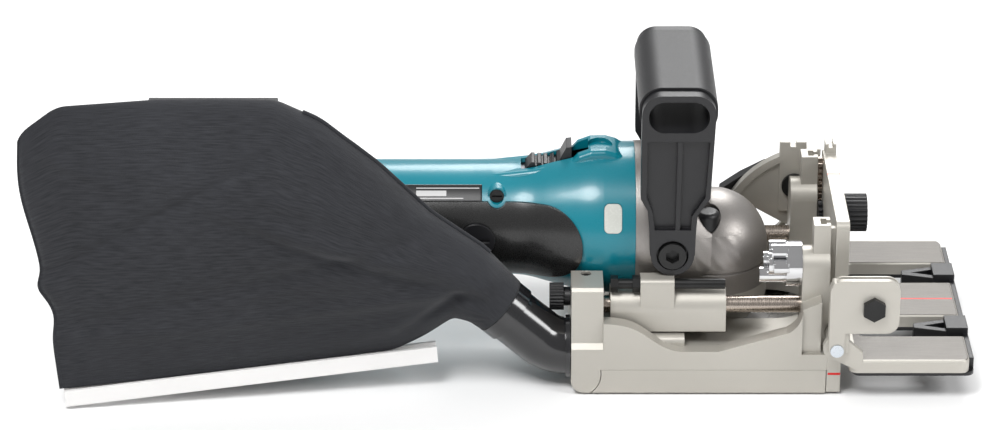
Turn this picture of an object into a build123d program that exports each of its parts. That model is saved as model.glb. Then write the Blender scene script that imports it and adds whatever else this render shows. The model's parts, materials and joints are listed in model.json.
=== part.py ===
from build123d import *
import math
import os

# Battery biscuit joiner (plate joiner), millimetres.
# +X points forward (towards the work), +Y to the tool's left, +Z up.
# Origin: centre of the base's underside. The blade lies in the plane Y = 0, X = spindle_x.

# ---------------------------------------------------------------- driving sizes
run_gap = 0.05            # radial clearance of a shaft in its bearing or bush
slide_gap = 0.1           # clearance of flat sliding faces
part_gap = 0.3            # clearance between pieces that only lie beside each other

# base
base_length = 127.0
base_width = 120.0
cover_depth = 12.0        # height of the hinged blade cover under the base casting
chamber_top = 15.5        # roof of the blade chamber
floor_top = 20.0
wall_thick = 8.0
shoe_thick = 6.5
rear_block_length = 15.0
rear_block_width = 24.5
ledge_width = 32.0          # lower step of the rear block, under the motor housing
ledge_top = 40.0
rear_block_top = 53.0
post_length = 13.0
post_width = 18.0
column_top = 80.0
column_width = 10.0
cover_corner = 6.0        # radius of the cover's lower rear edge
hinge_radius = 2.4        # knuckle of the cover's hinge, at the seam's rear edge
hinge_pin_radius = 1.2
hinge_y = 56.0            # middle of the left hinge lug
boss_y = -29.0            # inner end of the boss under the dust outlet
boss_reach = 11.6         # radius of that boss about the hinge

# guide rods and carriage
rod_radius = 4.0
rod_y = 40.0
rod_z = 37.0
sleeve_radius = 9.8
sleeve_length = 54.5
sleeve_rear_x = -45.0
bush_wall = 1.5
bush_length = 8.0
spring_wire = 1.0
spring_turns = 7

# blade and depth
blade_radius = 50.0
blade_z = 10.0            # height of the groove's centre above the base's underside
blade_kerf = 4.0
blade_body = 2.8
blade_bore = 10.0
blade_teeth = 6
max_groove = 20.0
blade_setback = 8.5       # blade edge behind the front face when the tool is at rest
groove_depths = (8.0, 10.0, 12.3, 13.0, 14.0)

# motor axis and gears
motor_z = 64.5
gear_module = 1.0
pinion_teeth = 12
gear_teeth = 36
gear_face = 6.0
shaft_radius = 4.0
spindle_radius = 6.0
nose_radius = 26.5
dome_z = 51.0             # centre of the nose's rounded top
ring_radius = 36.5
ring_rear_x = -33.0
ring_length = 9.5
gear_case_bottom = 34.5
plate_bottom = 26.0       # underside of the carriage's plate under the gear housing
seam_z = 45.5            # parting line round the gear housing

# motor housing
grip_radius = 27.5
housing_wall = 2.1
grip_front_x = -92.0
mount_rear_x = -204.0
mount_length = 24.0
mount_width = 66.0
mount_top = 102.0
mount_bottom = 20.0
yoke_length = 42.0
yoke_rear_x = -94.0
yoke_radius = 25.4
core_radius = 16.8
brush_x = -108.0
commutator_radius = 9.0
rear_bearing_x = -126.0
pad_thick = 1.2
housing_screw_x = -98.5
housing_screw_z = 84.0

# bail handle
bail_x = -16.0
bail_bolt_z = 64.0
bail_width = 88.0
bail_top = 145.0
bail_leg_thick = 7.2
bail_boss_radius = 10.2
grip_depth = 34.2         # section of the grip, front to back
grip_height = 21.6
grip_corner = 9.5
grip_wall = 3.1
sleeve_skin = 1.2

# depth stop
turret_y = -39.0
turret_z = 58.0
turret_radius = 10.8
turret_pin_radius = 3.0
stop_screw_y = -45.5
stop_screw_z = 50.2
stop_screw_flats = 7.0
stop_screw_radius = 2.5
stop_screw_tip = 9.0
stop_screw_length = 54.0
ear_length = 16.0
ear_rear_x = -31.0

# fence and angle guide
fence_rear_x = 60.5
fence_thick = 6.3
fence_width = 90.0
fence_top = 81.0
fence_bottom = 31.0
pivot_x = 60.5
pivot_z = 27.0
pivot_radius = 3.15
barrel_radius = 4.4
wing_y = 64.0
guide_top = 20.5
guide_thick = 6.3
guide_width = 135.0
guide_root_x = 67.0
guide_front_x = 123.4
window_inner = 18.5
window_outer = 40.5
window_rear_x = 74.0
window_front_x = 119.0
set_plate_thick = 1.8
knob_y = 29.5
knob_z = 53.0
knob_radius = 9.35
rack_module = 1.0
knob_teeth = 10
quadrant_y = 51.0
quadrant_thick = 5.0
quadrant_radius = 50.5
lock_bolt_radius = 33.5
lock_bolt_angle = 112.0

# dust outlet and bag
duct_radius = 7.0
nozzle_y = -45.0
nozzle_z = 17.5
nozzle_radius = 13.5
nozzle_bore = 11.0
nozzle_end_x = -94.0
nozzle_end_z = 36.0
collar_radius = 14.5
thumb_y = -31.5
thumb_z = 37.0
thumb_radius = 6.5
elbow_bend = 22.0
bag_inner_y = -41.0
bag_outer_y = -98.0
clip_length = 176.0
clip_height = 8.0
clip_x = -214.0
clip_y = -61.5
clip_z = 10.9
clip_slope = 4.2
clip_yaw = 7.0

# battery
battery_width = 75.0
battery_depth = 62.0
battery_height = 110.0
battery_bottom = 3.0
rail_width = 48.0
rail_neck = 40.0
rail_depth = 6.0
rail_top = 88.0
rail_bottom = 30.0

# switch and lock
hood_half = 11.0          # half width of the switch hood
switch_travel = 6.0
switch_front_x = -63.0
switch_length = 22.0
switch_width = 12.0
lock_x = 1.4
lock_y = -16.0
lock_radius = 6.2
lock_top = 74.7
lock_travel = 3.0

# ---------------------------------------------------------------- worked-out places
rear_x = -base_length / 2
lock_foot = lock_top - 8.6
front_x = base_length / 2
half_width = base_width / 2
shoe_back = front_x - shoe_thick
stroke = blade_setback + max_groove
spindle_x = front_x - blade_setback - blade_radius
post_back = shoe_back + 1.0 - post_length
post_y = rod_y
hinge_x = rear_x + hinge_radius
hinge_z = cover_depth - slide_gap - hinge_radius
sleeve_front_x = sleeve_rear_x + sleeve_length
ring_front_x = ring_rear_x + ring_length
turret_face = stop_screw_tip + stroke
gear_pitch = gear_module * gear_teeth / 2
pinion_pitch = gear_module * pinion_teeth / 2
mount_front_x = mount_rear_x + mount_length
case_front_x = mount_rear_x - part_gap
fence_front_x = fence_rear_x + fence_thick
guide_bottom = guide_top - guide_thick
pinion_knob_pitch = rack_module * knob_teeth / 2

parts = {}


# ---------------------------------------------------------------- helpers
def box(x0, x1, y0, y1, z0, z1):
    """Block between two corners."""
    return Pos((x0 + x1) / 2, (y0 + y1) / 2, (z0 + z1) / 2) * Box(x1 - x0, y1 - y0, z1 - z0)


def bar_x(radius, x0, x1, y, z):
    """Round bar along X."""
    return Pos((x0 + x1) / 2, y, z) * Rot(0, 90, 0) * Cylinder(radius, x1 - x0)


def bar_y(radius, y0, y1, x, z):
    """Round bar along Y."""
    return Pos(x, (y0 + y1) / 2, z) * Rot(90, 0, 0) * Cylinder(radius, y1 - y0)


def bar_z(radius, z0, z1, x, y):
    """Round bar along Z."""
    return Pos(x, y, (z0 + z1) / 2) * Cylinder(radius, z1 - z0)


def prism_y(points, y0, y1):
    """Outline of (x, z) points carried along Y."""
    face = make_face(Polyline(*[(x, y0, z) for x, z in points], close=True))
    return extrude(face, amount=y1 - y0, dir=(0, 1, 0))


def prism_z(points, z0, z1):
    """Outline of (x, y) points carried along Z."""
    face = make_face(Polyline(*[(x, y, z0) for x, y in points], close=True))
    return extrude(face, amount=z1 - z0, dir=(0, 0, 1))


def slab_x(x0, x1, y0, y1, z0, z1, radius):
    """Plate facing X with rounded corners."""
    plane = Plane(origin=(x0, (y0 + y1) / 2, (z0 + z1) / 2), x_dir=(0, 1, 0), z_dir=(1, 0, 0))
    return extrude(plane * RectangleRounded(y1 - y0, z1 - z0, radius), amount=x1 - x0)


def slab_y(x0, x1, y0, y1, z0, z1, radius):
    """Plate facing Y with rounded corners."""
    plane = Plane(origin=((x0 + x1) / 2, y0, (z0 + z1) / 2), x_dir=(1, 0, 0), z_dir=(0, 1, 0))
    return extrude(plane * RectangleRounded(x1 - x0, z1 - z0, radius), amount=y1 - y0)


def slab_z(x0, x1, y0, y1, z0, z1, radius):
    """Plate facing Z with rounded corners."""
    plane = Plane(origin=((x0 + x1) / 2, (y0 + y1) / 2, z0))
    return extrude(plane * RectangleRounded(x1 - x0, y1 - y0, radius), amount=z1 - z0)


def stadium_z(radius, x0, x1, z0, z1):
    """Plate facing Z, a slot outline whose end centres are at x0 and x1."""
    ends = bar_z(radius, z0, z1, x0, 0) + bar_z(radius, z0, z1, x1, 0)
    return ends + box(x0, x1, -radius, radius, z0, z1)


def hex_x(across_flats, x0, x1, y, z):
    """Hexagonal bar along X."""
    plane = Plane(origin=(x0, y, z), x_dir=(0, 1, 0), z_dir=(1, 0, 0))
    return extrude(plane * RegularPolygon(across_flats / 2, 6, major_radius=False), amount=x1 - x0)


def hex_y(across_flats, y0, y1, x, z):
    """Hexagonal bar along Y."""
    plane = Plane(origin=(x, y0, z), x_dir=(0, 0, 1), z_dir=(0, 1, 0))
    return extrude(plane * RegularPolygon(across_flats / 2, 6, major_radius=False), amount=y1 - y0)


def hex_z(across_flats, z0, z1, x, y):
    """Hexagonal bar along Z."""
    outline = RegularPolygon(across_flats / 2, 6, major_radius=False)
    return extrude(Plane(origin=(x, y, z0)) * outline, amount=z1 - z0)


def turned_x(points, z=motor_z, y=0.0):
    """Solid of revolution about a line along X; points are (x, radius)."""
    face = make_face(Polyline(*[(x, 0, r) for x, r in points], close=True))
    return Pos(0, y, z) * revolve(face, Axis.X)


def both_sides(shape):
    """A piece and its mirror image on the other side of the tool."""
    return shape + mirror(shape, about=Plane.XZ)


def group(*shapes):
    """Several separate solids that share one node."""
    return Compound([solid for shape in shapes for solid in shape.solids()])


def knurled_x(radius, x0, x1, y, z, ridges):
    """Round knob along X with ridges round its rim."""
    knob = bar_x(radius - 0.5, x0, x1, y, z)
    for step in range(ridges):
        turn = 2 * math.pi * step / ridges
        knob += bar_x(0.75, x0, x1, y + (radius - 0.75) * math.cos(turn),
                      z + (radius - 0.75) * math.sin(turn))
    return knob


def bevel_teeth(teeth, pitch, other_pitch, face_width, phase):
    """Straight bevel teeth; the apex is the origin and the axis is +Z. Each tooth is a wedge
    that shrinks towards the apex, narrower than its gap so that the pair runs with backlash."""
    cone = math.hypot(pitch, other_pitch)
    inner = 1 - face_width / cone
    normal = (other_pitch / cone, pitch / cone)
    half_tip = 0.17 * math.pi * gear_module / 1.6
    half_root = 0.26 * math.pi * gear_module
    high = 0.7 * gear_module
    low = -1.3 * gear_module
    ends = []
    for scale in (1.0, inner):
        corners = []
        for height, half in ((low, half_root), (high, half_tip)):
            radius = scale * (pitch + height * normal[0])
            depth = scale * (-other_pitch + height * normal[1])
            corners.append((radius, half * scale, depth))
        (r0, w0, d0), (r1, w1, d1) = corners
        ring = [(r0, -w0, d0), (r0, w0, d0), (r1, w1, d1), (r1, -w1, d1)]
        ends.append(make_face(Polyline(*ring, close=True)))
    tooth = loft(ends)
    return [Rot(0, 0, phase + 360 * step / teeth) * tooth for step in range(teeth)]


def bevel_wheel(teeth, pitch, other_pitch, face_width, back, bore, phase):
    """Bevel gear with its apex at the origin, opening towards -Z."""
    cone = math.hypot(pitch, other_pitch)
    inner = 1 - face_width / cone
    drop = 1.0 * gear_module
    normal = (other_pitch / cone * drop, pitch / cone * drop)
    outer_point = (pitch - normal[0], -other_pitch - normal[1])
    inner_point = (inner * pitch - inner * normal[0], -inner * other_pitch - inner * normal[1])
    profile = [(bore, inner_point[1]), inner_point, outer_point,
               (outer_point[0], outer_point[1] - 1.5),
               (outer_point[0] * 0.55, back), (bore, back)]
    blank = revolve(make_face(Polyline(*[(r, 0, z) for r, z in profile], close=True)), Axis.Z)
    wheel = blank
    for tooth in bevel_teeth(teeth, pitch, other_pitch, face_width, phase):
        wheel += tooth
    return wheel


# ---------------------------------------------------------------- base
def blade_chamber(margin, z0, z1):
    """Room for the blade over its whole travel, open at the front."""
    radius = blade_radius + margin
    return stadium_z(radius, spindle_x, spindle_x + stroke + 2 * blade_radius, z0, z1)


def rear_block():
    """Rear corner block of the right side, which holds a guide rod's end."""
    block = box(rear_x, rear_x + rear_block_length, -half_width + 2.5, -half_width + rear_block_width,
                cover_depth, rear_block_top)
    block = chamfer(block.edges().filter_by(Axis.X).group_by(Axis.Z)[-1], 1.5)
    block += box(rear_x, rear_x + rear_block_length, -half_width + 10, -half_width + ledge_width,
                 cover_depth, ledge_top)
    foot = prism_y([(rear_x, cover_depth), (rear_x + rear_block_length, cover_depth),
                    (rear_x + rear_block_length, 25), (rear_x, 25)], -half_width, -half_width + 10)
    return block + chamfer(foot.edges().filter_by(Axis.X).group_by(Axis.Z)[-1].sort_by(Axis.Y)[0], 2.4)


def side_wall():
    """Right side wall with its dished top edge between the rear block and the front post."""
    start = rear_x + rear_block_length
    low_start = -12.0
    low_end = 6.0
    low = floor_top + 1.5
    top = Spline((start, 0, 36), (start + 15, 0, 33), (low_start, 0, low),
                 tangents=[(1, 0, 0), (1, 0, -0.15)])
    flat = Line((low_start, 0, low), (low_end, 0, low))
    ramp = Line((low_end, 0, low), (post_back - 7, 0, 31))
    rise = ThreePointArc((post_back - 7, 0, 31), (post_back - 2.07, 0, 35.59), (post_back, 0, 42))
    closing = Polyline((post_back, 0, 42), (post_back, 0, cover_depth), (start, 0, cover_depth),
                       (start, 0, 36))
    outline = make_face([top, flat, ramp, rise, closing])
    return Pos(0, -half_width, 0) * extrude(outline, amount=wall_thick, dir=(0, 1, 0))


def front_post():
    """Rounded upright that holds the front end of a guide rod and carries the turret."""
    half = post_width / 2
    x1 = post_back + post_length
    upright = box(post_back, x1, -post_y - half, -post_y + half, floor_top, turret_z)
    upright += bar_x(half, post_back, x1, -post_y, turret_z)
    return upright + box(post_back, shoe_back, -half_width, -post_y, cover_depth, floor_top)


def post_cheek():
    """Web that joins the right front post to the side wall; the quadrant needs its room on the left."""
    x1 = post_back + post_length - 4
    return prism_y([(post_back, floor_top), (x1, floor_top), (x1, 46), (post_back, 42)],
                   -half_width + 2.5, -post_y - post_width / 2 + 1)


def tongue(x_face, half_neck, half_head, neck_x, head_x, z0, z1):
    """T-shaped key along Z on the front column's centre."""
    neck = box(neck_x, x_face, rod_y - half_neck, rod_y + half_neck, z0, z1)
    return neck + box(head_x, neck_x, rod_y - half_head, rod_y + half_head, z0, z1)


def rounded_foot(y0, y1, x1, z1):
    """Block on the ground whose lower rear edge is rounded like the base's."""
    outline = [(rear_x + cover_corner, 0), (x1, 0), (x1, z1), (rear_x, z1), (rear_x, cover_corner)]
    corner = bar_y(cover_corner, y0, y1, rear_x + cover_corner, cover_corner)
    return prism_y(outline, y0, y1) + corner


def outlet_boss():
    """Lower part of the base behind the cover, under the dust outlet, shaped about the hinge."""
    boss = bar_y(boss_reach, -half_width, boss_y, hinge_x, hinge_z)
    boss &= rounded_foot(-half_width, boss_y, hinge_x + boss_reach + 1, cover_depth + 1)
    return boss - bar_y(hinge_pin_radius, boss_y - 6, boss_y + 1, hinge_x, hinge_z)


def make_base():
    column_x0 = shoe_back + 1.0 - 8.0
    column_x1 = shoe_back + 1.0
    floor = box(rear_x, shoe_back, -half_width, half_width, cover_depth, floor_top)
    bridge = box(rear_x, rear_x + 7, -half_width + rear_block_width, half_width - rear_block_width,
                 cover_depth, 25)
    front_wall = box(shoe_back - 7, shoe_back, -post_y, post_y, floor_top, 25)
    sides = both_sides(rear_block() + side_wall() + front_post())
    columns = both_sides(box(column_x0, column_x1, -rod_y - column_width / 2,
                             -rod_y + column_width / 2, floor_top, column_top))
    duct_roof = slab_x(rear_x + rear_block_length - 1, -10, nozzle_y - 9, nozzle_y + 9, floor_top - 4,
                       nozzle_z + duct_radius + 1.6, 3)
    base = floor + bridge + front_wall + sides + columns + post_cheek() + duct_roof + outlet_boss()
    base -= stadium_z(spindle_radius + 14.6, spindle_x, spindle_x + stroke, chamber_top - 1, 26)
    base -= box(post_back - 5, post_back + 1, quadrant_y - 1, quadrant_y + quadrant_thick + 1, 33, 50)
    base -= blade_chamber(3.0, cover_depth - 1, chamber_top)
    base -= bar_x(duct_radius, rear_x - 1, -14, nozzle_y, nozzle_z)
    for side in (-1, 1):
        base -= bar_x(rod_radius, rear_x + 3, post_back + 7, side * rod_y, rod_z)
        base -= bar_z(2.5, rod_z, rear_block_top + 1, rear_x + 7, side * rod_y)
    groove = tongue(column_x1 + 1, 1.5 + slide_gap, 3.0 + slide_gap, column_x1 - 2.0,
                    column_x1 - 4.6, 32.0, column_top + 1)
    base -= groove + mirror(groove, about=Plane.XZ)
    base -= bar_x(turret_pin_radius, post_back - 1, post_back + 7, turret_y, turret_z)
    base -= bar_x(2.5, rear_x - 1, rear_x + 10, thumb_y, thumb_z)
    lug = bar_y(hinge_radius, hinge_y - 2, hinge_y + 2, hinge_x, hinge_z)
    lug += box(hinge_x - hinge_radius, hinge_x + hinge_radius, hinge_y - 2, hinge_y + 2,
               hinge_z, cover_depth + 1)
    base += lug - bar_y(hinge_pin_radius, hinge_y - 3, hinge_y + 3, hinge_x, hinge_z)
    for side in (-1, 1):
        base -= box(shoe_back - 4, shoe_back + 2, side * 54 - 2, side * 54 + 2, 13.0, 17.0)
    parts["base_casting"] = base

    shoe = box(shoe_back, front_x, -half_width, half_width, 0, floor_top)
    shoe = fillet(shoe.edges().filter_by(Axis.X), 1.2)
    shoe -= box(shoe_back - 1, front_x + 1, -46, 46, blade_z - blade_kerf / 2 - 0.9,
                blade_z + blade_kerf / 2 + 0.9)
    screws = []
    for y in (-54.0, 54.0):
        shoe -= bar_x(2.0, shoe_back - 1, front_x + 1, y, 15)
        shoe -= bar_x(4.0, front_x - 2.6, front_x + 1, y, 15)
        screw = bar_x(1.95, shoe_back - 3.9, front_x - 2.6, y, 15)
        screw += bar_x(3.9, front_x - 2.6, front_x - 0.4, y, 15)
        screws.append(screw - hex_x(2.6, front_x - 1.8, front_x, y, 15))
    parts["front_shoe"] = shoe
    parts["shoe_screws"] = group(*screws)

    rods = [bar_x(rod_radius, rear_x + 3, post_back + 7, side * rod_y, rod_z) for side in (-1, 1)]
    parts["guide_rods"] = group(*rods)
    studs = []
    for side in (-1, 1):
        stud = bar_z(2.5, rod_z + rod_radius, rear_block_top - 1.2, rear_x + 7, side * rod_y)
        studs.append(stud - hex_z(2.5, rear_block_top - 3.5, rear_block_top, rear_x + 7, side * rod_y))
    parts["rod_set_screws"] = group(*studs)

    rack_pitch_y = knob_y + pinion_knob_pitch
    tooth = math.pi * rack_module
    rack = box(column_x1, fence_rear_x - slide_gap, rack_pitch_y + 1.2, rod_y - 1.5 - part_gap,
               38, column_top - 1)
    first = math.ceil((40 - knob_z) / tooth - 0.5)
    last = math.floor((column_top - 3 - knob_z) / tooth - 0.5)
    for step in range(first, last + 1):
        z = knob_z + (step + 0.5) * tooth
        cut = [(rack_pitch_y - 0.75, z - 0.35), (rack_pitch_y + 1.3, z - 0.95),
               (rack_pitch_y + 1.3, z + 0.95), (rack_pitch_y - 0.75, z + 0.35)]
        face = make_face(Polyline(*[(column_x1, y, h) for y, h in cut], close=True))
        rack += extrude(face, amount=fence_rear_x - slide_gap - column_x1, dir=(1, 0, 0))
    parts["height_rack"] = rack

    pin = bar_x(turret_pin_radius, turret_face + 3, post_back + 7, turret_y, turret_z)
    parts["turret_pin"] = pin


def make_cover():
    length_end = shoe_back - part_gap
    top = cover_depth - slide_gap
    outline = [(rear_x + cover_corner, 0), (length_end, 0), (length_end, top), (hinge_x, top),
               (rear_x, hinge_z), (rear_x, cover_corner)]
    cover = prism_y(outline, -half_width, half_width)
    cover += bar_y(cover_corner, -half_width, half_width, rear_x + cover_corner, cover_corner) & box(
        rear_x - 1, rear_x + cover_corner, -half_width, half_width, 0, cover_corner)
    cover += bar_y(hinge_radius, -half_width, half_width, hinge_x, hinge_z)
    cover -= blade_chamber(3.0, blade_z - 6.0, cover_depth + 1)
    cover -= bar_x(duct_radius, rear_x - 1, -14, nozzle_y, nozzle_z)
    cover -= box(rear_x - 1, hinge_x + hinge_radius + part_gap, hinge_y - 2 - slide_gap,
                 hinge_y + 2 + slide_gap, hinge_z - hinge_radius - part_gap, cover_depth)
    cover -= bar_y(boss_reach + part_gap, -half_width - 1, boss_y + slide_gap, hinge_x, hinge_z)
    cover -= bar_y(hinge_pin_radius + run_gap, hinge_y - 6, hinge_y + 6, hinge_x, hinge_z)
    cover -= bar_y(hinge_pin_radius + run_gap, boss_y - 1, boss_y + 6, hinge_x, hinge_z)
    cover -= bar_z(3.0 + slide_gap, -1, cover_depth + 1, rear_x + 18, 30)
    cover -= bar_z(5.2, -1, 4.0, rear_x + 18, 30)
    parts["blade_cover"] = cover
    screw = bar_z(3.0, 3.8, cover_depth - slide_gap, rear_x + 18, 30)
    screw += bar_z(5.0, 0.6, 3.9, rear_x + 18, 30)
    parts["cover_screw"] = screw - hex_z(4, -1, 2.6, rear_x + 18, 30)
    pins = [bar_y(hinge_pin_radius, y0, y0 + 9, hinge_x, hinge_z) for y0 in (boss_y - 5, hinge_y - 5)]
    parts["cover_hinge_pins"] = group(*pins)


# ---------------------------------------------------------------- carriage and gear case
def make_carriage():
    sleeve = bar_x(sleeve_radius, sleeve_rear_x, sleeve_front_x, -rod_y, rod_z)
    sleeve += box(sleeve_rear_x, sleeve_front_x, -rod_y - sleeve_radius, -rod_y + 4, rod_z - sleeve_radius,
                  rod_z)
    sleeve += box(ring_front_x, sleeve_front_x, -rod_y, -24, rod_z - 8, gear_case_bottom)
    ear = slab_x(ear_rear_x, ear_rear_x + ear_length, stop_screw_y - 4, stop_screw_y + 7,
                 rod_z, stop_screw_z + 3.4, 2.5)
    left = mirror(sleeve, about=Plane.XZ)
    plate = bar_z(nose_radius, plate_bottom, gear_case_bottom, spindle_x, 0)
    plate += box(ring_front_x, spindle_x, -nose_radius, nose_radius, plate_bottom + 2, gear_case_bottom)
    neck = bar_z(spindle_radius + 14, chamber_top + 0.5, plate_bottom + 2, spindle_x, 0)
    carriage = sleeve + left + ear + plate + neck
    carriage -= bar_z(16, 30, gear_case_bottom + 1, spindle_x, 0)
    carriage -= bar_z(spindle_radius + 0.6, chamber_top - 1, 31, spindle_x, 0)
    bore = rod_radius + bush_wall
    for side in (-1, 1):
        carriage -= bar_x(bore + 1.2, sleeve_rear_x + bush_length, sleeve_front_x - bush_length,
                          side * rod_y, rod_z)
        carriage -= bar_x(bore, sleeve_rear_x - 1, sleeve_front_x + 1, side * rod_y, rod_z)
    carriage -= bar_x(stop_screw_radius + run_gap, ear_rear_x - 1, ear_rear_x + ear_length + 1,
                      stop_screw_y, stop_screw_z)
    parts["slide_carriage"] = carriage

    bushes = []
    springs = []
    for side in (-1, 1):
        for x0 in (sleeve_rear_x, sleeve_front_x - bush_length):
            bush = bar_x(bore, x0, x0 + bush_length, side * rod_y, rod_z)
            bushes.append(bush - bar_x(rod_radius + run_gap, x0 - 1, x0 + 9, side * rod_y, rod_z))
        length = sleeve_length - 2 * bush_length - 2 * spring_wire
        radius = rod_radius + 0.5 + spring_wire / 2
        path = Helix(pitch=length / spring_turns, height=length, radius=radius)
        wire = sweep(Plane(origin=path @ 0, z_dir=path % 0) * Circle(spring_wire / 2), path=path)
        start = sleeve_rear_x + bush_length + spring_wire
        springs.append(Pos(start, side * rod_y, rod_z) * Rot(0, 90, 0) * wire)
    parts["sleeve_bushes"] = group(*bushes)
    parts["return_springs"] = group(*springs)

    stop_start = stop_screw_tip - stop_screw_length
    screw = bar_x(stop_screw_radius, stop_start, stop_screw_tip, stop_screw_y, stop_screw_z)
    screw += hex_x(stop_screw_flats, stop_start, stop_start + 3.5, stop_screw_y, stop_screw_z)
    parts["depth_stop_screw"] = screw
    nut = hex_x(stop_screw_flats, ear_rear_x - 3.6, ear_rear_x - slide_gap, stop_screw_y, stop_screw_z)
    parts["depth_lock_nut"] = nut - bar_x(stop_screw_radius, ear_rear_x - 5, ear_rear_x, stop_screw_y,
                                          stop_screw_z)


def make_gear_case():
    flare_x = ring_front_x - 1
    big_end = Plane(origin=(flare_x, 0, motor_z), x_dir=(0, 1, 0), z_dir=(1, 0, 0))
    small_end = Plane(origin=(spindle_x - 1, 0, dome_z), x_dir=(0, 1, 0), z_dir=(1, 0, 0))
    flare = loft([big_end * Circle(ring_radius - 2.5), small_end * Circle(nose_radius - 0.3)])
    shell = flare + bar_z(nose_radius, gear_case_bottom, dome_z, spindle_x, 0)
    shell += Pos(spindle_x, 0, dome_z) * Sphere(nose_radius)
    shell &= box(flare_x, spindle_x + nose_radius + 1, -50, 50, gear_case_bottom, 120)
    rim = bar_z(nose_radius + 0.5, seam_z - 0.5, seam_z + 0.5, spindle_x, 0)
    shell -= rim - bar_z(nose_radius - 0.6, seam_z - 1, seam_z + 1, spindle_x, 0)
    ring = bar_x(ring_radius, ring_rear_x, ring_front_x, 0, motor_z)
    boss = bar_y(bail_boss_radius - 1, -bail_width / 2 + bail_leg_thick + 0.1,
                 bail_width / 2 - bail_leg_thick - 0.1, bail_x, bail_bolt_z)
    case = shell + ring + boss
    case -= bar_z(gear_pitch + 2, gear_case_bottom - 1, motor_z - 3.1, spindle_x, 0)
    case -= bar_z(10, motor_z - 4, motor_z + 1.5, spindle_x, 0)
    case -= bar_x(pinion_pitch + 3, ring_front_x - 4, spindle_x, 0, motor_z)
    case -= bar_x(11, ring_rear_x + 1.5, ring_front_x, 0, motor_z)
    case -= bar_x(27, ring_rear_x - 1, ring_rear_x + 1.5, 0, motor_z)
    case -= bar_z(7, motor_z, motor_z + 9.5, spindle_x, 0)
    case -= bar_z(lock_radius + 0.2, lock_foot - lock_travel - slide_gap, 110, lock_x, lock_y)
    case -= bar_z(2.0 + run_gap, 50, 110, lock_x, lock_y)
    for side_sign in (-1, 1):
        case -= bar_y(3.0, side_sign * 31 - 8, side_sign * 31 + 14, bail_x, bail_bolt_z)
    parts["gear_housing"] = case

    front = bar_x(11, ring_rear_x + 1.5, ring_front_x - 0.5, 0, motor_z)
    front -= bar_x(shaft_radius + run_gap, ring_rear_x, ring_front_x, 0, motor_z)
    parts["front_bearing"] = front
    lower = bar_z(16, 30, 40, spindle_x, 0) - bar_z(spindle_radius + run_gap, 29, 41, spindle_x, 0)
    upper = bar_z(7, motor_z + 3, motor_z + 9, spindle_x, 0)
    upper -= bar_z(shaft_radius + run_gap, motor_z, motor_z + 10, spindle_x, 0)
    parts["spindle_bearings"] = group(lower, upper)

    cap = bar_z(lock_radius, lock_foot, lock_top, lock_x, lock_y)
    cap = fillet(cap.edges().group_by(Axis.Z)[-1], 2.5)
    parts["shaft_lock_button"] = cap + bar_z(2.0, lock_foot - 2, lock_foot + 1, lock_x, lock_y)


def make_spindle():
    spindle = bar_z(spindle_radius, blade_z + blade_body / 2 + 3.5, motor_z - 8, spindle_x, 0)
    spindle += bar_z(shaft_radius, motor_z - 9, motor_z + 8.5, spindle_x, 0)
    spindle += bar_z(5.0, 4.6, blade_z + blade_body / 2 + 4, spindle_x, 0)
    parts["spindle"] = spindle
    inner = bar_z(14, blade_z + blade_body / 2, blade_z + blade_body / 2 + 3.5, spindle_x, 0)
    inner += bar_z(blade_bore, blade_z - blade_body / 2, blade_z + blade_body / 2, spindle_x, 0)
    inner -= bar_z(5.0, 0, 20, spindle_x, 0)
    outer = bar_z(14, 5.6, blade_z - blade_body / 2, spindle_x, 0)
    outer -= bar_z(5.0, 0, 20, spindle_x, 0)
    for turn in range(4):
        angle = math.radians(90 * turn + 45)
        outer -= bar_z(1.6, 5, 9, spindle_x + 10 * math.cos(angle), 10 * math.sin(angle))
    parts["blade_flanges"] = group(inner, outer)

    blade = Cylinder(blade_radius - 1.5, blade_body) - Cylinder(blade_bore, blade_body + 1)
    for step in range(blade_teeth):
        turn = 360 * step / blade_teeth + 30
        gullet = Pos(blade_radius - 5.5, -5.5, 0) * Cylinder(6.5, blade_body + 1)
        tip = box(blade_radius - 8, blade_radius - 0.5, 0, 2.4, -blade_kerf / 2, blade_kerf / 2)
        blade -= Rot(0, 0, turn) * (gullet - box(0, 60, -0.5, 20, -9, 9))
        blade += Rot(0, 0, turn) * tip
    parts["saw_blade"] = Pos(spindle_x, 0, blade_z) * blade

    wheel = bevel_wheel(gear_teeth, gear_pitch, pinion_pitch, gear_face, -20.0, spindle_radius, 0)
    parts["bevel_gear"] = Pos(spindle_x, 0, motor_z) * wheel


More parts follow.
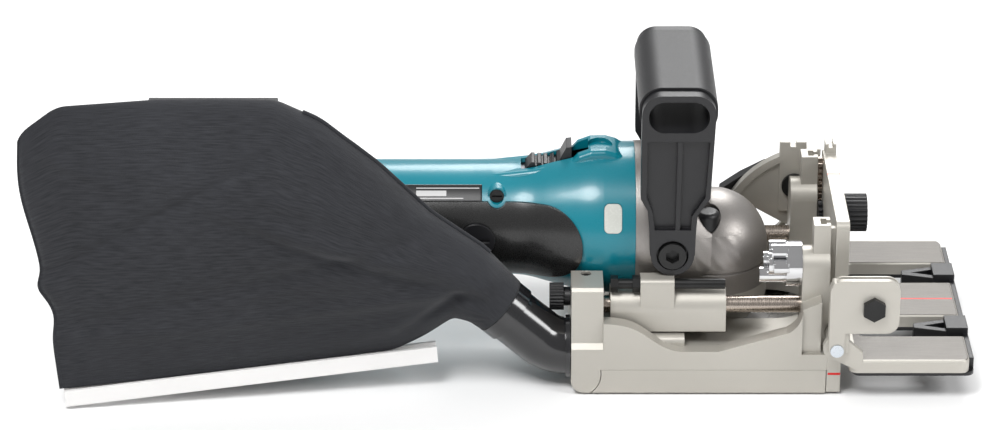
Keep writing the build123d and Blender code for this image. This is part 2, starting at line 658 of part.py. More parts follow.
# ---------------------------------------------------------------- motor
def make_motor():
    pinion = bevel_wheel(pinion_teeth, pinion_pitch, gear_pitch, gear_face, -gear_pitch - 2.5,
                         3.0, 180 / pinion_teeth)
    parts["drive_pinion"] = Pos(spindle_x, 0, motor_z) * Rot(0, 90, 0) * pinion
    pinion_back = spindle_x - gear_pitch - 2.5
    shaft = bar_x(shaft_radius, rear_bearing_x - 1, pinion_back, 0, motor_z)
    shaft += bar_x(3.0, pinion_back, spindle_x - gear_pitch + gear_face - 1, 0, motor_z)
    parts["armature_shaft"] = shaft
    core = bar_x(core_radius, yoke_rear_x + 5, yoke_rear_x + yoke_length - 5, 0, motor_z)
    for step in range(12):
        turn = 2 * math.pi * step / 12
        core -= bar_x(1.8, yoke_rear_x, yoke_rear_x + yoke_length, 14 * math.cos(turn),
                      motor_z + 14 * math.sin(turn))
    core -= bar_x(shaft_radius, -200, 0, 0, motor_z)
    parts["armature_core"] = core
    commutator = bar_x(commutator_radius, brush_x - 5, brush_x + 5, 0, motor_z)
    parts["commutator"] = commutator - bar_x(shaft_radius, -200, 0, 0, motor_z)
    fan_rear = -48.0
    fan = bar_x(7, fan_rear, fan_rear + 10, 0, motor_z)
    fan += bar_x(23, fan_rear, fan_rear + 1.5, 0, motor_z)
    for step in range(9):
        vane = Pos(fan_rear + 5.5, 0, 0) * Rot(40 * step, 0, 0) * Pos(0, 0, 14) * Box(8, 1.4, 17)
        fan += Pos(0, 0, motor_z) * vane
    parts["cooling_fan"] = fan - bar_x(shaft_radius, -200, 0, 0, motor_z)

    tube = bar_x(yoke_radius, yoke_rear_x, yoke_rear_x + yoke_length, 0, motor_z)
    magnet_outer = yoke_radius - 2.4
    parts["motor_yoke"] = tube - bar_x(magnet_outer, -200, 0, 0, motor_z)
    ring = bar_x(magnet_outer, yoke_rear_x + 4, yoke_rear_x + yoke_length - 4, 0, motor_z)
    ring -= bar_x(core_radius + 0.7, -200, 0, 0, motor_z)
    ring -= box(-200, 0, -7, 7, motor_z - 40, motor_z + 40)
    parts["motor_magnets"] = group(ring)
    rear = bar_x(9.5, rear_bearing_x, rear_bearing_x + 7, 0, motor_z)
    parts["rear_bearing"] = rear - bar_x(shaft_radius + run_gap, -200, 0, 0, motor_z)

    brushes = []
    caps = []
    for side in (-1, 1):
        y0, y1 = sorted((side * (commutator_radius + slide_gap), side * 22))
        brushes.append(box(brush_x - 3, brush_x + 3, y0, y1, motor_z - 4, motor_z + 4))
        y0, y1 = sorted((side * 22, side * (grip_radius + pad_thick + 0.4)))
        cap = bar_y(8.6, y0, y1, brush_x, motor_z)
        slot = box(brush_x - 6, brush_x + 6, side * (grip_radius + 1.9) - 1, side * (grip_radius + 1.9) + 1,
                   motor_z - 0.8, motor_z + 0.8)
        caps.append(cap - slot)
    parts["carbon_brushes"] = group(*brushes)
    parts["brush_caps"] = group(*caps)


# ---------------------------------------------------------------- housing
def barrel(offset, x_front, x_back):
    """Turned outer form of the motor housing, shrunk by offset."""
    top = Spline((-48, 0, ring_radius - 0.2), (-62, 0, 34.2), (-76, 0, 30.6), (grip_front_x, 0, grip_radius + 0.3),
                 tangents=[(-1, 0, 0), (-1, 0, 0)])
    outline = [Line((x_front, 0, ring_radius - 0.2), (-48, 0, ring_radius - 0.2)), top,
               Line((grip_front_x, 0, grip_radius + 0.3), (-110, 0, grip_radius)),
               Line((-110, 0, grip_radius), (x_back, 0, grip_radius)),
               Polyline((x_back, 0, grip_radius), (x_back, 0, 0), (x_front, 0, 0),
                        (x_front, 0, ring_radius - 0.2))]
    solid = revolve(make_face(outline), Axis.X)
    if offset:
        inner = Spline((-48, 0, ring_radius - 0.2 - offset), (-62, 0, 34.2 - offset),
                       (-76, 0, 30.6 - offset), (grip_front_x, 0, grip_radius + 0.3 - offset),
                       tangents=[(-1, 0, 0), (-1, 0, 0)])
        outline = [Line((x_front, 0, ring_radius - 0.2 - offset), (-48, 0, ring_radius - 0.2 - offset)),
                   inner,
                   Line((grip_front_x, 0, grip_radius + 0.3 - offset), (-110, 0, grip_radius - offset)),
                   Line((-110, 0, grip_radius - offset), (x_back, 0, grip_radius - offset)),
                   Polyline((x_back, 0, grip_radius - offset), (x_back, 0, 0), (x_front, 0, 0),
                            (x_front, 0, ring_radius - 0.2 - offset))]
        solid = revolve(make_face(outline), Axis.X)
    return Pos(0, 0, motor_z) * solid


def pad_outline(y0, y1, grow):
    """Side pad's outline: straight top and bottom, deep rounded front end."""
    return slab_y(-156 - grow, -58 + grow, y0, y1, 44 - grow, 82 + grow, 18)


def make_housing():
    outer = barrel(0, ring_rear_x, mount_front_x - 4)
    hood_side = [(-104, 86), (-104, 90.2), (-84, 92.4), (-64, 96), (-60, 100.5), (-54, 102.8),
                 (-47, 103.0), (-42, 101.6), (-37, 98.5), (-34, 96), (-34, 86)]
    hood = prism_y(hood_side, -hood_half, hood_half)
    hood = fillet(hood.edges().filter_by(lambda e: abs(abs(e.center().Y) - hood_half) < 0.01
                                         and e.center().Z > 91), 2.5)
    mount = slab_x(mount_rear_x, mount_front_x, -mount_width / 2, mount_width / 2, mount_bottom,
                   mount_top, 9)
    taper_front = Plane(origin=(mount_front_x + 16, 0, motor_z), x_dir=(0, 1, 0), z_dir=(1, 0, 0))
    taper_rear = Plane(origin=(mount_front_x, 0, (mount_top + mount_bottom) / 2), x_dir=(0, 1, 0),
                       z_dir=(1, 0, 0))
    neck = loft([taper_front * RectangleRounded(2 * grip_radius - 2, 2 * grip_radius - 2, 24),
                 taper_rear * RectangleRounded(mount_width - 1, mount_top - mount_bottom - 1, 9)])
    shell = outer + hood + mount + neck
    shell -= barrel(housing_wall, ring_rear_x + 1, mount_front_x - 5)
    wall = housing_wall + 0.5
    shell -= slab_x(mount_rear_x + wall, mount_front_x - wall, -mount_width / 2 + wall,
                    mount_width / 2 - wall, mount_bottom + wall, mount_top - wall, 6)
    shell -= bar_x(grip_radius - housing_wall - 1, mount_front_x - 6, mount_front_x + 20, 0, motor_z)
    # switch well, with room for the slide's travel, and the thumb recess in front of it
    shell -= box(switch_front_x - switch_length - 2, switch_front_x + switch_travel + 2, -6.4, 6.4, 84, 110)
    shell -= bar_z(6, 100.6, 112, -49.5, 0)
    # bulkhead that seats the rear bearing
    bulkhead = bar_x(grip_radius - 1, rear_bearing_x - 1, rear_bearing_x + 8, 0, motor_z)
    bulkhead -= bar_x(9.5, rear_bearing_x - 0.1, rear_bearing_x + 9, 0, motor_z)
    bulkhead -= bar_x(6, rear_bearing_x - 3, rear_bearing_x + 9, 0, motor_z)
    for turn in range(4):
        angle = math.radians(45 + 90 * turn)
        bulkhead -= bar_x(6, rear_bearing_x - 3, rear_bearing_x + 9, 17 * math.cos(angle),
                          motor_z + 17 * math.sin(angle))
    shell += bulkhead
    for side in (-1, 1):
        shell -= bar_y(8.6, side * 27 - 8, side * 27 + 8, brush_x, motor_z)
        shell -= slab_y(-48, -39.5, side * 32 - 8, side * 32 + 8, 71.6, 84.6, 2.5)
    shell += bar_y(4.3, -20, 12, housing_screw_x, housing_screw_z)
    shell -= bar_y(3.4, -40, -18.1, housing_screw_x, housing_screw_z)
    shell -= bar_y(1.5, -19, 9, housing_screw_x, housing_screw_z)
    vents = []
    for step in range(5):
        vents.append(slab_y(-176 + 6 * step, -173 + 6 * step, -40, 40, 52, 76, 1.4))
    for vent in vents:
        shell -= vent
    right = shell & box(-300, 0, -60, 0, 0, 130)
    left = shell & box(-300, 0, 0, 60, 0, 130)
    parts["housing_right"] = right
    parts["housing_left"] = left


def make_pads():
    """Rubber side pads: a skin over the barrel, cut to the pad's outline."""
    thicker = Spline((-48, 0, ring_radius - 0.2 + pad_thick), (-62, 0, 34.2 + pad_thick),
                     (-76, 0, 30.6 + pad_thick), (grip_front_x, 0, grip_radius + 0.3 + pad_thick),
                     tangents=[(-1, 0, 0), (-1, 0, 0)])
    outline = [thicker,
               Polyline((grip_front_x, 0, grip_radius + 0.3 + pad_thick), (-110, 0, grip_radius + pad_thick),
                        (-160, 0, grip_radius + pad_thick), (-160, 0, 0), (-48, 0, 0),
                        (-48, 0, ring_radius - 0.2 + pad_thick))]
    skin = Pos(0, 0, motor_z) * revolve(make_face(outline), Axis.X)
    skin -= barrel(0, ring_rear_x, mount_front_x - 4)
    pads = []
    for side in (-1, 1):
        y0, y1 = sorted((0.0, side * 60.0))
        pad = skin & pad_outline(y0, y1, 0)
        pad -= bar_y(8.7, y0, y1, brush_x, motor_z)
        pad -= bar_y(4.6, y0, y1, housing_screw_x, housing_screw_z)
        pads.append(pad)
    parts["side_pads"] = group(*pads)
    lens = []
    for side in (-1, 1):
        y0, y1 = sorted((side * 24.5, side * 60.0))
        body = slab_y(-47.9, -39.6, y0, y1, 71.7, 84.5, 2.4)
        lens.append(body & bar_x(ring_radius + 0.1, -60, -30, 0, motor_z))
    parts["status_windows"] = group(*lens)
    screws = []
    head = bar_y(3.3, -20.4, -18.2, housing_screw_x, housing_screw_z)
    head += bar_y(1.5, -18.3, 9, housing_screw_x, housing_screw_z)
    screws.append(head - box(housing_screw_x - 2.4, housing_screw_x + 2.4, -21, -19.4,
                             housing_screw_z - 0.5, housing_screw_z + 0.5))
    parts["housing_screws"] = group(*screws)


def make_switch():
    z = 90.3
    z_low = motor_z + yoke_radius + part_gap
    x0 = switch_front_x - switch_length
    knob = prism_y([(x0, z_low), (x0, z + 1.5), (x0 + 3, z + 5), (x0 + 12, z + 4.4),
                    (x0 + 16.5, z + 6.5), (x0 + 19.5, z + 12.5), (switch_front_x, z + 12.8),
                    (switch_front_x, z_low)], -switch_width / 2, switch_width / 2)
    for step in range(4):
        ridge = x0 + 4.2 + 3.0 * step
        knob -= prism_y([(ridge, z + 7), (ridge + 0.5, z + 3.4), (ridge + 1.5, z + 3.4), (ridge + 2.0, z + 7)],
                        -switch_width / 2 - 1, switch_width / 2 + 1)
    parts["slide_switch"] = knob


def make_rear():
    tongue_block = box(mount_rear_x - rail_depth + 3, mount_rear_x, -rail_neck / 2, rail_neck / 2,
                       rail_bottom, rail_top)
    tongue_block += box(mount_rear_x - rail_depth, mount_rear_x - rail_depth + 3, -rail_width / 2,
                        rail_width / 2, rail_bottom, rail_top)
    parts["terminal_block"] = tongue_block

    x1 = case_front_x
    x0 = x1 - battery_depth
    half = battery_width / 2
    z1 = battery_bottom + battery_height
    case = slab_x(x0, x1, -half, half, battery_bottom, z1, 8)
    gap = part_gap
    case -= box(mount_rear_x - rail_depth + 3 - gap, x1 + 1, -rail_neck / 2 - gap, rail_neck / 2 + gap,
                battery_bottom - 1, rail_top + gap)
    case -= box(mount_rear_x - rail_depth - gap, mount_rear_x - rail_depth + 3 + gap,
                -rail_width / 2 - gap, rail_width / 2 + gap, battery_bottom - 1, rail_top + gap)
    case -= box(x0 - 1, x0 + 6, -14.3, 14.3, 86.7, 101.3)
    parts["battery_case"] = case
    button = slab_x(x0 - 0.4, x0 + 2.4, -14, 14, 87, 101, 3)
    parts["battery_button"] = button
    parts["switch_unit"] = box(-168, -136, -9, 9, motor_z - 23.5, 60)


# ---------------------------------------------------------------- bail handle
def make_bail():
    half = bail_width / 2
    inner = half - bail_leg_thick
    grip_z = bail_top - grip_height / 2
    # right leg outline: wide at the grip, narrowing to the stem, round boss at the bolt
    leg = [(bail_x - 15.3, grip_z), (bail_x - 15.3, 93), (bail_x - 12, 87), (bail_x - 11, 76),
           (bail_x - 10.5, bail_bolt_z), (bail_x + 10.5, bail_bolt_z), (bail_x + 10.8, 76),
           (bail_x + 11.4, 84.7), (bail_x + 17.2, 93.5), (bail_x + 19, grip_z)]
    side = prism_y(leg, -half, -inner)
    side += bar_y(bail_boss_radius, -half, -inner, bail_x, bail_bolt_z)
    pocket = [(bail_x - 12.6, 122), (bail_x - 12.6, 94), (bail_x - 9.6, 86), (bail_x - 8.5, 77),
              (bail_x + 8.4, 77), (bail_x + 8.6, 84), (bail_x + 14.8, 94), (bail_x + 16.4, 122)]
    side -= prism_y(pocket, -half - 1, -half + 3)
    side += prism_y([(bail_x + 1.5, 123), (bail_x + 1.0, 76), (bail_x + 3.3, 76), (bail_x + 3.8, 123)],
                    -half + 0.4, -half + 3.5)
    side -= bar_y(3.2, -half - 1, -inner + 1, bail_x, bail_bolt_z)
    side -= bar_y(7.4, -half - 1, -half + 3.6, bail_x, bail_bolt_z)
    legs = side + mirror(side, about=Plane.XZ)
    centre_x = bail_x + 1.9
    plane = Plane(origin=(centre_x, -half, grip_z), x_dir=(1, 0, 0), z_dir=(0, 1, 0))
    outer = RectangleRounded(grip_depth, grip_height, grip_corner)
    bore = RectangleRounded(grip_depth - 2 * grip_wall, grip_height - 2 * grip_wall, grip_corner - 2)
    bail = legs + extrude(plane * outer, amount=bail_width) - extrude(plane * bore, amount=bail_width)
    parts["bail_handle"] = bail
    mid = Plane(origin=(centre_x, -inner + 0.5, grip_z), x_dir=(1, 0, 0), z_dir=(0, 1, 0))
    length = 2 * inner - 1
    skin = RectangleRounded(grip_depth + 2 * sleeve_skin, grip_height + 2 * sleeve_skin, grip_corner + sleeve_skin)
    parts["grip_sleeve"] = extrude(mid * skin, amount=length) - extrude(mid * outer, amount=length)

    bolts = []
    for sign in (-1, 1):
        y_head = sign * (half - 3.6)
        y_top = sign * (half + 1.4)
        y0, y1 = sorted((y_head, y_top))
        bolt = bar_y(6.5, y0, y1, bail_x, bail_bolt_z)
        y0, y1 = sorted((sign * 24, y_head))
        bolt += bar_y(3.0, y0, y1, bail_x, bail_bolt_z)
        y0, y1 = sorted((y_top - sign * 3.2, y_top + sign * 1))
        bolts.append(bolt - hex_y(6, y0, y1, bail_x, bail_bolt_z))
    parts["handle_bolts"] = group(*bolts)


# ---------------------------------------------------------------- depth stop turret
def make_turret():
    away = math.atan2(stop_screw_z - turret_z, stop_screw_y - turret_y)
    turret = bar_x(turret_radius, turret_face, post_back - slide_gap, turret_y, turret_z)
    turret += bar_x(5.6, turret_face - 8, turret_face + 1, turret_y, turret_z)
    for step, depth in enumerate(groove_depths):
        turn = away + math.radians(60 * (step + 1))
        start = stop_screw_tip + blade_setback + depth
        turret += bar_x(3.7, start, turret_face + 1, turret_y + 7.6 * math.cos(turn),
                        turret_z + 7.6 * math.sin(turn))
    turret -= bar_x(turret_pin_radius + run_gap, turret_face + 2, post_back + 1, turret_y, turret_z)
    parts["depth_turret"] = turret


# ---------------------------------------------------------------- fence and guide
def polar(radius, angle):
    """Point at an angle about the guide's pivot, in the X-Z plane."""
    turn = math.radians(angle)
    return pivot_x + radius * math.cos(turn), pivot_z + radius * math.sin(turn)


def make_fence():
    half = fence_width / 2
    plate = slab_x(fence_rear_x, fence_front_x, -half, half, fence_bottom, fence_top, 4)
    for side in (-1, 1):
        y0, y1 = sorted((side * (half - 6), side * wing_y))
        plate += box(fence_rear_x, fence_front_x, y0, y1, pivot_z - 1, 45)
        y0, y1 = sorted((side * 50.5, side * wing_y))
        plate += bar_y(barrel_radius, y0, y1, pivot_x, pivot_z)
        plate -= bar_y(pivot_radius + run_gap, y0 - 1, y1 + 1, pivot_x, pivot_z)
        face = shoe_back + 1.0
        y0, y1 = sorted((side * (rod_y - 1.5), side * (rod_y + 1.5)))
        plate += box(face - 2.0 + slide_gap - 0.3, fence_rear_x + 1, y0, y1, 34, 77)
        y0, y1 = sorted((side * (rod_y - 3), side * (rod_y + 3)))
        plate += box(face - 4.6 + slide_gap, face - 2.0 - slide_gap, y0, y1, 34, 77)
    plate -= bar_x(3.0 + run_gap, fence_rear_x - 1, fence_front_x + 1, knob_y, knob_z)
    # pointer tab at the top of the left edge
    plate += box(fence_rear_x + 1, fence_front_x, half - 8, half, fence_top - 3, fence_top + 5)
    plate -= box(fence_rear_x + 2.5, fence_front_x - 1.5, half - 9, half + 1, fence_top + 3, fence_top + 6)
    parts["fence_plate"] = plate

    # quadrant: a sector about the pivot, with a raised rim and a stepped block on its front end
    start, end = 96.0, 150.0
    arc = ThreePointArc(*[(p[0], quadrant_y, p[1]) for p in
                          (polar(quadrant_radius, start), polar(quadrant_radius, (start + end) / 2),
                           polar(quadrant_radius, end))])
    a, b, c = polar(quadrant_radius, end), polar(12, end), (pivot_x, pivot_z + 8)
    d = (pivot_x, polar(quadrant_radius, start)[1])
    e = polar(quadrant_radius, start)
    rest = Polyline(*[(p[0], quadrant_y, p[1]) for p in (a, b, c, d, e)])
    sector = extrude(make_face([arc, rest]), amount=quadrant_thick, dir=(0, 1, 0))
    rim_cut_arc = bar_y(quadrant_radius - 3.5, quadrant_y - 1, quadrant_y + 1.5, pivot_x, pivot_z)
    keep = bar_y(14, quadrant_y - 2, quadrant_y + 3, pivot_x, pivot_z)
    sector -= rim_cut_arc - keep
    block = box(pivot_x - 20, pivot_x - 7, quadrant_y, quadrant_y + quadrant_thick, 60, 81)
    block -= box(pivot_x - 15, pivot_x - 12, quadrant_y - 1, quadrant_y + 9, 78.5, 82)
    block += box(pivot_x - 20, pivot_x - 7, quadrant_y, quadrant_y + quadrant_thick, 44, 61)
    hub_x, hub_z = polar(lock_bolt_radius, lock_bolt_angle)
    sector += block
    sector += box(pivot_x - 2, fence_rear_x, quadrant_y, quadrant_y + quadrant_thick, 35, 45)
    sector -= bar_y(4.05, quadrant_y - 2, quadrant_y + 9, hub_x, hub_z)
    parts["angle_quadrant"] = sector

    bolt = bar_y(4.0, quadrant_y - 0.5, quadrant_y + 16, hub_x, hub_z)
    bolt += bar_y(6.2, quadrant_y - 1.7, quadrant_y - 0.1, hub_x, hub_z)
    parts["lock_bolt"] = bolt
    tip_x, tip_z = 12.0, 50.0
    y0 = quadrant_y + quadrant_thick + 1.0
    lever = prism_y([(hub_x - 2, hub_z + 8), (hub_x - 14, hub_z + 8.4), (hub_x - 26, hub_z + 2),
                     (tip_x, tip_z + 3), (tip_x - 1, tip_z - 2), (tip_x + 4, tip_z - 3.5),
                     (hub_x - 20, hub_z - 7), (hub_x - 3, hub_z - 7.5)], y0, y0 + 7)
    lever += bar_y(8.2, y0, y0 + 8, hub_x, hub_z)
    parts["angle_lock_lever"] = lever - bar_y(4.0 + run_gap, y0 - 1, y0 + 9, hub_x, hub_z)

    gear = bar_x(3.75, shoe_back + 1.3, fence_rear_x - 0.1, knob_y, knob_z)
    width = fence_rear_x - 0.1 - (shoe_back + 1.3)
    for step in range(knob_teeth):
        outline = [(3.0, -0.95), (3.6, -0.8), (5.0, -0.5), (5.7, -0.25), (5.7, 0.25), (5.0, 0.5),
                   (3.6, 0.8), (3.0, 0.95)]
        face = make_face(Polyline(*[(0, r, w) for r, w in outline], close=True))
        tooth = extrude(face, amount=width, dir=(1, 0, 0))
        gear += Pos(shoe_back + 1.3, knob_y, knob_z) * Rot(360 * step / knob_teeth, 0, 0) * tooth
    knob = gear + bar_x(3.0, fence_rear_x - 0.5, fence_front_x + 2, knob_y, knob_z)
    knob += bar_x(6.5, fence_front_x + 0.2, fence_front_x + 4.2, knob_y, knob_z)
    knob += knurled_x(knob_radius, fence_front_x + 4, fence_front_x + 15, knob_y, knob_z, 24)
    parts["height_knob"] = knob


def plate_with_windows(x0, x1, half, z0, z1, radius, window_end):
    """Flat plate with the two slots that clear the height knob when it is folded up."""
    plate = slab_z(x0, x1, -half, half, z0, z1, radius)
    for side in (-1, 1):
        y0, y1 = sorted((side * window_inner, side * window_outer))
        plate -= slab_z(window_rear_x, window_end, y0, y1, z0 - 1, z1 + 1, 3)
    return plate


def make_guide():
    half = guide_width / 2
    plate = plate_with_windows(guide_root_x, guide_front_x, half, guide_bottom, guide_top, 4,
                               guide_front_x + 10)
    plate = chamfer(plate.edges().filter_by(GeomType.LINE).group_by(Axis.Z)[-1], 0.8)
    y_in = wing_y + slide_gap
    for side in (-1, 1):
        y0, y1 = sorted((side * y_in, side * half))
        plate += bar_y(6.2, y0, y1, pivot_x, pivot_z)
        plate += prism_y([(pivot_x, pivot_z - 6.2), (guide_root_x + 6, guide_bottom),
                          (guide_root_x + 6, guide_top + 4), (pivot_x + 4, pivot_z + 5)], y0, y1)
        plate -= bar_y(pivot_radius, y0 - 5, y1 + 5, pivot_x, pivot_z)
    # right-hand ear that carries the hexagon bolt, doubled with a gap
    for y0, y1 in ((-half - 2.5, -half + 0.4), (-half + 3.0 - 0.6, -half + 3.6 - 0.1)):
        ear = slab_y(56.5, 89, y0, y1, 36, 63, 6)
        ear += box(56.5, 64, y0, y1, pivot_z - 2, 45)
        plate += ear
    plate += box(57.5, 66, -half - 1, -y_in, pivot_z - 2, 42)
    plate += slab_y(57.5, 62, -half - 2.5, -half + 3.5, 42, 62, 1)
    plate -= bar_y(3.0, -half - 6, -half + 6, 77, 49)
    plate -= bar_y(pivot_radius, -half - 4, -wing_y + 1, pivot_x, pivot_z)
    parts["angle_guide"] = plate

    bolt = bar_y(2.95, -half - 2.5, -half + 3.5, 77, 49)
    bolt += hex_y(10, -half - 5.4, -half - 2.5, 77, 49) + hex_y(10, -half + 3.5, -half + 7, 77, 49)
    parts["guide_bolt"] = bolt
    pins = []
    right = bar_y(pivot_radius, -half - 3.2, -51, pivot_x, pivot_z)
    left = bar_y(pivot_radius, 51, half + 0.4, pivot_x, pivot_z)
    parts["pivot_pins"] = group(right, left)

    z1 = guide_bottom - slide_gap
    z0 = z1 - set_plate_thick
    front = guide_front_x + 2.4
    plate = plate_with_windows(guide_root_x + 1.5, front, half - 1, z0, z1, 4, window_front_x)
    plate += box(guide_front_x + 0.2, front, -half + 6, half - 6, z0, guide_top - 1.2)
    proud_x = pivot_x + fence_top - pivot_z + 1.0
    for side in (-1, 1):
        mid = side * (window_inner + window_outer) / 2
        plate += box(proud_x, front, mid - 6.8, mid + 6.8, z0, guide_top + 2.0)
        for lean in (-1, 1):
            arm = [(proud_x + 2, mid + lean * 6.8), (proud_x - 15, mid + lean * 2.2),
                   (proud_x - 15, mid - lean * 0.6), (proud_x - 12, mid - lean * 0.6),
                   (proud_x + 2, mid + lean * 3.8)]
            plate += prism_z(arm, z0, guide_top)
    parts["set_plate"] = plate


# ---------------------------------------------------------------- dust outlet and bag
def make_dust():
    start = Vector(rear_x - part_gap, nozzle_y, nozzle_z)
    corner = start + Vector(-9, 0, 0)
    end = Vector(nozzle_end_x, nozzle_y, nozzle_end_z)
    out = (end - corner).normalized()
    path = FilletPolyline(start, corner, end, radius=elbow_bend)
    mouth = Plane(origin=start, z_dir=(-1, 0, 0))
    elbow = sweep(mouth * Circle(nozzle_radius), path=path)
    tip = Plane(origin=end - out * 3, z_dir=out)
    elbow += extrude(tip * Circle(collar_radius), amount=7)
    elbow += bar_x(nozzle_radius + 1.6, start.X - 2.2, start.X, nozzle_y, nozzle_z)
    elbow -= sweep(mouth * Circle(nozzle_bore), path=path)
    elbow -= extrude(tip * Circle(nozzle_bore), amount=9)
    parts["dust_nozzle"] = elbow

    knob = knurled_x(thumb_radius, rear_x - 10, rear_x - 3.2, thumb_y, thumb_z, 22)
    knob += bar_x(4.5, rear_x - 3.4, rear_x - 0.1, thumb_y, thumb_z)
    knob += bar_x(2.45, rear_x - 1, rear_x + 9, thumb_y, thumb_z)
    parts["nozzle_thumb_screw"] = knob

    # bag: a flat pouch beside the grip, with a neck that slips over the nozzle's end
    slope = math.tan(math.radians(clip_slope))
    clip_top = clip_z + clip_height / 2 + 0.4
    foot = [(x, clip_top + (x - clip_x) * slope) for x in (-306, -146)]
    outline = [foot[0], (-304, 52), (-311, 62), (-316, 123), (-297, 142), (-251, 146),
               (-199, 145), (-158, 126), (-131, 97), (-112, 80), (-108, 62), (-112, 42),
               (-133, 30), foot[1]]
    body = prism_y(outline, bag_outer_y, bag_inner_y)
    along = (math.cos(math.radians(clip_yaw)), math.sin(math.radians(clip_yaw)), 0)
    edge_in = [(bag_inner_y + 1, 62), (bag_inner_y + 1, -1), (-71, -1), (-66, 22)]
    cut_in = make_face(Polyline(*[(-330, y, z) for y, z in edge_in], close=True))
    body -= extrude(cut_in, amount=260, dir=along)
    edge_out = [(bag_outer_y - 30, 90), (bag_outer_y - 30, -1), (-80, -1), (-90, 30),
                (bag_outer_y - 5, 90)]
    cut_out = make_face(Polyline(*[(-330, y, z) for y, z in edge_out], close=True))
    body -= extrude(cut_out, amount=260, dir=along)
    top_in = [(bag_inner_y + 1, 124), (bag_inner_y + 1, 170), (-58, 170)]
    cut_top = make_face(Polyline(*[(-330, y, z) for y, z in top_in], close=True))
    body -= extrude(cut_top, amount=260, dir=(1, 0, 0))
    mouth = Plane(origin=end + out * (7 - 3 + part_gap), z_dir=out)
    throat = Plane(origin=(-114, -62, 56), x_dir=(0, 1, 0), z_dir=(-1, 0, 0.35))
    neck = loft([mouth * Circle(collar_radius + 1), throat * Ellipse(17, 19)])
    parts["dust_bag"] = body + neck

    bar = Box(clip_length, 7, clip_height)
    bar -= Pos(0, 0, clip_height / 2) * Box(clip_length + 2, 3.4, clip_height)
    parts["bag_clip"] = Pos(clip_x, clip_y, clip_z) * Rot(0, -clip_slope, clip_yaw) * bar


make_base()
make_cover()
make_carriage()
make_gear_case()
make_spindle()
make_motor()
make_housing()
make_pads()
make_switch()
make_rear()
make_bail()
make_turret()
make_fence()
make_guide()
make_dust()

os.makedirs("parts", exist_ok=True)
for name, shape in parts.items():
    export_step(shape, f"parts/{name}.step")
print(len(parts), "nodes")
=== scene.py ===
import json
import math
import bpy
import numpy as np
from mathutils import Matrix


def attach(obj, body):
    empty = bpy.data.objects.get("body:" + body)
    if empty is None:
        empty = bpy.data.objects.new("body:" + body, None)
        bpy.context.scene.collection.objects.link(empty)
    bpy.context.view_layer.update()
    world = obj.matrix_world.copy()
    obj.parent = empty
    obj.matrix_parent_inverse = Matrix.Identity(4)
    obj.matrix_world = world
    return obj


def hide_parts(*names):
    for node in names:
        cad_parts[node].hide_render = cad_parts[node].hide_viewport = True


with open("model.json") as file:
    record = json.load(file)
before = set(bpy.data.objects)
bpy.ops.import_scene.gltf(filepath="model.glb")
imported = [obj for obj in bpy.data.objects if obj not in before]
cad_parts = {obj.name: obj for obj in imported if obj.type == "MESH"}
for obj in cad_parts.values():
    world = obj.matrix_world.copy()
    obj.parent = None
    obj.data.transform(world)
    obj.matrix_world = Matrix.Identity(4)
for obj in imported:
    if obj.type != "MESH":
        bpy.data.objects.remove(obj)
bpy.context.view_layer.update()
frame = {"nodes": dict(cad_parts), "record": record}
nodes = frame["nodes"]
print("frame loaded,", len(nodes), "CAD nodes")

# ---- camera, floor and light: metres and degrees
cameraView = {"target": (-0.097, 0.0, 0.065), "distance": 1.805, "elevation": 24.5, "lens": 135.36}


def makeCamera(view):
    tilt = math.radians(view["elevation"])
    data = bpy.data.cameras.new("viewCamera")
    data.lens = view["lens"]
    data.sensor_width = 36.0
    data.sensor_fit = "HORIZONTAL"
    data.clip_end = 20.0
    camera = bpy.data.objects.new("viewCamera", data)
    camera.location = (view["target"][0], view["target"][1] - view["distance"] * math.cos(tilt),
                       view["target"][2] + view["distance"] * math.sin(tilt))
    camera.rotation_euler = (math.pi / 2 - tilt, 0, 0)
    bpy.context.collection.objects.link(camera)
    bpy.context.scene.camera = camera


makeCamera(cameraView)


# ---- mesh helpers
def linkMesh(name, points, faces, smooth=True):
    mesh = bpy.data.meshes.new(name)
    mesh.from_pydata([tuple(p) for p in points.tolist()], [], [tuple(f) for f in faces.tolist()])
    mesh.validate()
    mesh.update()
    mesh.polygons.foreach_set("use_smooth", np.full(len(mesh.polygons), smooth))
    piece = bpy.data.objects.new(name, mesh)
    bpy.context.collection.objects.link(piece)
    return piece


def gridSurface(name, points, closeU=False, closeV=False, flip=False):
    # points is (rows, columns, 3); each cell becomes a four-sided face, placed on the UV map by row and column
    rows, columns = points.shape[:2]
    rowEnd = rows if closeU else rows - 1
    columnEnd = columns if closeV else columns - 1
    i, j = np.meshgrid(np.arange(rowEnd), np.arange(columnEnd), indexing="ij")
    nextI, nextJ = (i + 1) % rows, (j + 1) % columns
    faces = np.stack([i * columns + j, nextI * columns + j,
                      nextI * columns + nextJ, i * columns + nextJ], axis=-1).reshape(-1, 4)
    if flip:
        faces = faces[:, ::-1]
    piece = linkMesh(name, points.reshape(-1, 3), faces)
    layer = piece.data.uv_layers.new(name="UVMap")
    corners = np.stack([np.stack([i, j], -1), np.stack([i + 1, j], -1), np.stack([i + 1, j + 1], -1),
                        np.stack([i, j + 1], -1)], axis=2).reshape(-1, 4, 2)
    if flip:
        corners = corners[:, ::-1]
    scale = np.array([max(rows - 1, 1), max(columns - 1, 1)])
    layer.data.foreach_set("uv", (corners / scale).reshape(-1).astype(np.float32))
    return piece


def smoothStep(low, high, value):
    t = np.clip((value - low) / (high - low), 0, 1)
    return t * t * (3 - 2 * t)


def softCurve(knots, values, at, passes=3):
    # straight runs between the knots, rounded by averaging neighbours a few times
    fine = np.linspace(0, 1, 401)
    line = np.interp(fine, knots, values)
    for _ in range(passes):
        padded = np.pad(line, 6, mode="reflect", reflect_type="odd")
        line = np.convolve(padded, np.ones(13) / 13, mode="valid")
    return np.interp(at, fine, line)


